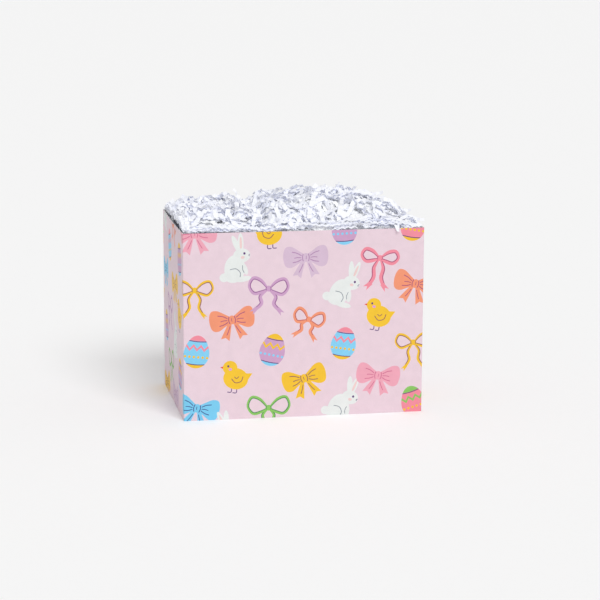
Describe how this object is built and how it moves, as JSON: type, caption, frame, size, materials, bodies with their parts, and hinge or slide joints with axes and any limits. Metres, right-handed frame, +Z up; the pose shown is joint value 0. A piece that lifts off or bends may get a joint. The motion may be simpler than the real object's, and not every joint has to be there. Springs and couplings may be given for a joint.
{
  "type": "easter basket",
  "caption": "Rectangular open-top paperboard basket box with a cheerful spring print, heaped with crinkle-cut paper; it empties and folds flat.",
  "frame": {"origin": "on the ground, at the centre of the box's footprint", "axes": "+Z up to the rim, -Y out of the front wall, +X along the front to the right"},
  "size_m": [0.1714, 0.1142, 0.1529],
  "materials": {
    "printed_board": "satin",
    "plain_board": "matte",
    "shred_paper": "matte"
  },
  "bodies": {
    "front": {"front_wall": "printed_board"},
    "left": {"left_wall": "printed_board"},
    "right": {"right_wall": "printed_board", "seam_glue_tab": "plain_board"},
    "back": {"back_wall": "printed_board"},
    "front_flap": {"front_floor_flap": "plain_board", "front_floor_web": "plain_board"},
    "back_flap": {"back_floor_flap": "plain_board", "back_floor_web": "plain_board"},
    "left_flap": {"left_floor_flap": "plain_board"},
    "right_flap": {"right_floor_flap": "plain_board"},
    "shred": {"paper_shred": "shred_paper"}
  },
  "joints": [
    {"name": "carton_fold", "type": "hinge", "parent": "front", "child": "left", "pos_m": [-0.08515, -0.05655, 0], "axis": [0, 0, 1], "range_deg": [0, 84], "deforming": ["paper_shred"]},
    {"name": "right_crease", "type": "hinge", "parent": "front", "child": "right", "pos_m": [0.08515, -0.05655, 0], "axis": [0, 0, 1], "range_deg": [0, 84]},
    {"name": "back_left_crease", "type": "hinge", "parent": "left", "child": "back", "pos_m": [-0.08515, 0.05655, 0], "axis": [0, 0, 1], "range_deg": [-84, 0]},
    {"name": "front_flap_crease", "type": "hinge", "parent": "front", "child": "front_flap", "pos_m": [0, -0.05655, 0.0012], "axis": [1, 0, 0], "range_deg": [0, 88.1]},
    {"name": "back_flap_crease", "type": "hinge", "parent": "back", "child": "back_flap", "pos_m": [0, 0.05655, 0.0012], "axis": [-1, 0, 0], "range_deg": [0, 88.1]},
    {"name": "left_flap_crease", "type": "hinge", "parent": "left", "child": "left_flap", "pos_m": [-0.08515, 0, 0.0006], "axis": [0, -1, 0], "range_deg": [0, 88.1]},
    {"name": "right_flap_crease", "type": "hinge", "parent": "right", "child": "right_flap", "pos_m": [0.08515, 0, 0.0006], "axis": [0, 1, 0], "range_deg": [0, 88.1]},
    {"name": "shred_lift", "type": "slide", "parent": "front", "child": "shred", "axis": [0, 0, 1], "range_m": [0, 0.132]}
  ],
  "couplings": [
    {"joint": "right_crease", "follows": "carton_fold", "ratio": 1},
    {"joint": "back_left_crease", "follows": "carton_fold", "ratio": -1},
    {"joint": "front_flap_crease", "follows": "carton_fold", "ratio": 1.0476},
    {"joint": "back_flap_crease", "follows": "carton_fold", "ratio": 1.0476},
    {"joint": "left_flap_crease", "follows": "carton_fold", "ratio": 1.0476},
    {"joint": "right_flap_crease", "follows": "carton_fold", "ratio": 1.0476}
  ]
}
